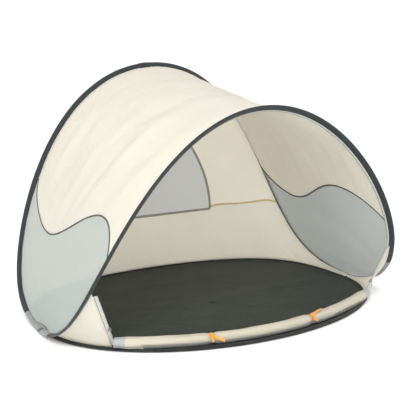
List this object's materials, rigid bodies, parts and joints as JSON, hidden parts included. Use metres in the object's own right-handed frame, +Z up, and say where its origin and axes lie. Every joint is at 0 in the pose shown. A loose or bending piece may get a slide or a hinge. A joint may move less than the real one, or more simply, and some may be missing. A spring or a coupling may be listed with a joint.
{
  "type": "pop-up beach shelter",
  "caption": "Low pop-up beach shelter: two spring-wire hoops carry a cream canopy with mesh sides, a rear window, a dark groundsheet and a door rolled down along the front.",
  "frame": {"origin": "centre of the shelter's footprint, on the ground", "axes": "+X to the right of a person who looks in through the doorway, +Y from the doorway to the back wall, +Z up"},
  "size_m": [1.3922, 1.0113, 0.906],
  "materials": {
    "spring_steel": "bright drawn spring wire",
    "binding": "woven polyester binding tape, matt charcoal",
    "canopy_cloth": "plain-weave polyester, cream, slight sheen",
    "side_netting": "fine grey mosquito netting, half see-through",
    "piping": "narrow dark bias tape",
    "wall_cloth": "plain-weave polyester, cream, in shade",
    "window_netting": "fine grey netting",
    "groundsheet": "coated woven polyethylene, dark green-grey",
    "zip_tape": "knitted polyester zip tape, grey",
    "door_cloth": "plain-weave polyester, rolled",
    "tie_webbing": "narrow ribbed polyester tape, orange",
    "zip_metal": "die-cast slider, grey enamel",
    "pull_tab": "folded orange tape",
    "peg_webbing": "polyester webbing, charcoal",
    "eyelet": "pressed steel eyelet"
  },
  "bodies": {
    "rear": {"rear_arch_wire": "spring_steel", "rear_arch_sleeve": "binding", "rear_floor_wire": "spring_steel", "rear_floor_sleeve": "binding", "arch_ferrule": "spring_steel", "floor_ferrule": "spring_steel", "canopy_panel": "canopy_cloth", "side_mesh_left": "side_netting", "side_mesh_right": "side_netting", "side_piping_left": "piping", "side_piping_right": "piping", "back_wall_upper": "canopy_cloth", "back_wall_lower": "wall_cloth", "window_mesh": "window_netting", "window_edging": "piping", "groundsheet_rear": "groundsheet", "peg_tabs": "peg_webbing", "peg_eyelets": "eyelet"},
    "front": {"front_arch_wire": "spring_steel", "front_arch_sleeve": "binding", "front_floor_wire": "spring_steel", "front_floor_sleeve": "binding", "groundsheet_front": "groundsheet", "gusset_left": "canopy_cloth", "gusset_right": "canopy_cloth", "gusset_zip_left": "zip_tape", "gusset_zip_right": "zip_tape", "arch_zip_tape": "zip_tape", "door_roll": "door_cloth", "door_zip_tape": "zip_tape", "door_tie_left": "tie_webbing", "door_tie_right": "tie_webbing"},
    "slider_left": {"zip_slider_left": "zip_metal"},
    "slider_right": {"zip_slider_right": "zip_metal"},
    "pull_left": {"zip_pull_left": "pull_tab"},
    "pull_right": {"zip_pull_right": "pull_tab"}
  },
  "joints": [
    {"name": "fold", "type": "hinge", "parent": "rear", "child": "front", "pos_m": [0, -0.055, 0.023], "axis": [-1, 0, 0], "range_deg": [0, 50], "stiffness_Nm_per_rad": 2, "deforming": ["canopy_panel", "side_mesh_left", "side_mesh_right", "side_piping_left", "side_piping_right"]},
    {"name": "zip_left", "type": "slide", "parent": "front", "child": "slider_left", "axis": [-0.3633, -0.1855, 0.913], "range_m": [0, 0.105]},
    {"name": "zip_right", "type": "slide", "parent": "front", "child": "slider_right", "axis": [0.3633, -0.1855, 0.913], "range_m": [0, 0.105]},
    {"name": "pull_swing_left", "type": "hinge", "parent": "slider_left", "child": "pull_left", "pos_m": [-0.5535, -0.33477, 0.07723], "axis": [-0.8164, 0.5355, -0.2161], "range_deg": [-20.2, 110]},
    {"name": "pull_swing_right", "type": "hinge", "parent": "slider_right", "child": "pull_right", "pos_m": [0.5535, -0.33477, 0.07723], "axis": [-0.8164, -0.5355, 0.2161], "range_deg": [-20.2, 110]}
  ]
}
